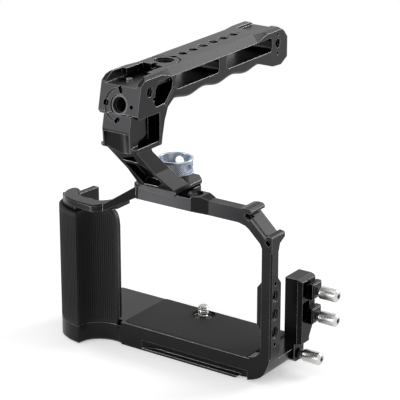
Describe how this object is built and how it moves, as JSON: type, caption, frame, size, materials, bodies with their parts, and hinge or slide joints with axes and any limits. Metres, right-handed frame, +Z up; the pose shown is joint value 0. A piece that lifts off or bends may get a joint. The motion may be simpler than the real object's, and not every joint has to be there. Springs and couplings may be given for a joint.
{
  "type": "camera cage",
  "caption": "Open metal cage round a small camera, with a rubber-covered grip side, a windowed top handle on a slanted strut, a lock knob and a side cable clamp.",
  "frame": {"origin": "centre of the mouth of the tripod socket in the underside of the base, below the handle's centre plane", "axes": "+X along the base from the grip to the cable clamp, -Y towards the lens, +Z up towards the handle"},
  "size_m": [0.1533, 0.1359, 0.1635],
  "materials": {
    "anodised_frame": "satin black anodising over fine bead blasting",
    "anodised_handle": "satin black anodising over fine bead blasting",
    "anodised_clamp": "satin black anodising with brighter bevelled edges",
    "grip_rubber": "black rubber with fine upright ribs",
    "pad_rubber": "smooth soft black rubber",
    "steel_screw": "turned stainless steel",
    "thumb_steel": "bright turned stainless steel",
    "black_steel": "blackened steel",
    "magnet_nickel": "nickel plating",
    "knob_aluminium": "bluish silver anodising with a diamond knurl"
  },
  "bodies": {
    "cage": {"cage_frame": "anodised_frame", "grip_cover": "grip_rubber", "base_pad": "pad_rubber", "side_pad": "pad_rubber", "key_magnets": "magnet_nickel", "top_handle": "anodised_handle", "handle_inserts": "black_steel", "foot_pins": "steel_screw", "shoe_stop_screw": "steel_screw", "clamp_body": "anodised_clamp", "clamp_pins": "steel_screw"},
    "knob_carriage": {"lock_collar": "black_steel"},
    "knob": {"lock_knob": "knob_aluminium", "lock_screw": "steel_screw"},
    "camera_bolt": {"camera_screw": "steel_screw", "camera_screw_clip": "black_steel"},
    "key": {"base_key": "steel_screw"},
    "upper_jaw": {"clamp_jaw_upper": "anodised_clamp", "jaw_clip_upper": "black_steel"},
    "upper_jaw_screw": {"jaw_screw_upper": "thumb_steel"},
    "lower_jaw": {"clamp_jaw_lower": "anodised_clamp", "jaw_clip_lower": "black_steel"},
    "lower_jaw_screw": {"jaw_screw_lower": "thumb_steel"},
    "mount_carriage": {"clamp_mount_washer": "black_steel"},
    "mount_screw": {"clamp_mount_screw": "thumb_steel"}
  },
  "joints": [
    {"name": "knob_lift", "type": "slide", "parent": "cage", "child": "knob_carriage", "axis": [0, 0, 1], "range_m": [0, 0.0039]},
    {"name": "knob_turn", "type": "hinge", "parent": "knob_carriage", "child": "knob", "pos_m": [0, -0.0143, 0.103], "axis": [0, 0, 1], "range_deg": [0, 1080]},
    {"name": "camera_screw_turn", "type": "hinge", "parent": "cage", "child": "camera_bolt", "pos_m": [0, 0.0108, 0.006], "axis": [0, 0, 1], "continuous": true},
    {"name": "key_pull", "type": "slide", "parent": "cage", "child": "key", "axis": [0, 0, -1], "range_m": [0, 0.015]},
    {"name": "upper_jaw_slide", "type": "slide", "parent": "cage", "child": "upper_jaw", "axis": [1, 0, 0], "range_m": [0, 0.002]},
    {"name": "upper_screw_turn", "type": "hinge", "parent": "upper_jaw", "child": "upper_jaw_screw", "pos_m": [0.07, 0.0139, 0.0432], "axis": [1, 0, 0], "range_deg": [0, 1440]},
    {"name": "lower_jaw_slide", "type": "slide", "parent": "cage", "child": "lower_jaw", "axis": [1, 0, 0], "range_m": [0, 0.002]},
    {"name": "lower_screw_turn", "type": "hinge", "parent": "lower_jaw", "child": "lower_jaw_screw", "pos_m": [0.07, 0.0139, 0.0296], "axis": [1, 0, 0], "range_deg": [0, 1440]},
    {"name": "mount_screw_slide", "type": "slide", "parent": "cage", "child": "mount_carriage", "axis": [1, 0, 0], "range_m": [0, 0.0025]},
    {"name": "mount_screw_turn", "type": "hinge", "parent": "mount_carriage", "child": "mount_screw", "pos_m": [0.064, 0.0079, 0.0089], "axis": [1, 0, 0], "range_deg": [0, 1800]}
  ],
  "couplings": [
    {"joint": "knob_lift", "follows": "knob_turn", "m_per_rad": 0.00020213},
    {"joint": "upper_screw_turn", "follows": "upper_jaw_slide", "rad_per_m": 12566},
    {"joint": "lower_screw_turn", "follows": "lower_jaw_slide", "rad_per_m": 12566},
    {"joint": "mount_screw_turn", "follows": "mount_screw_slide", "rad_per_m": 12566}
  ]
}
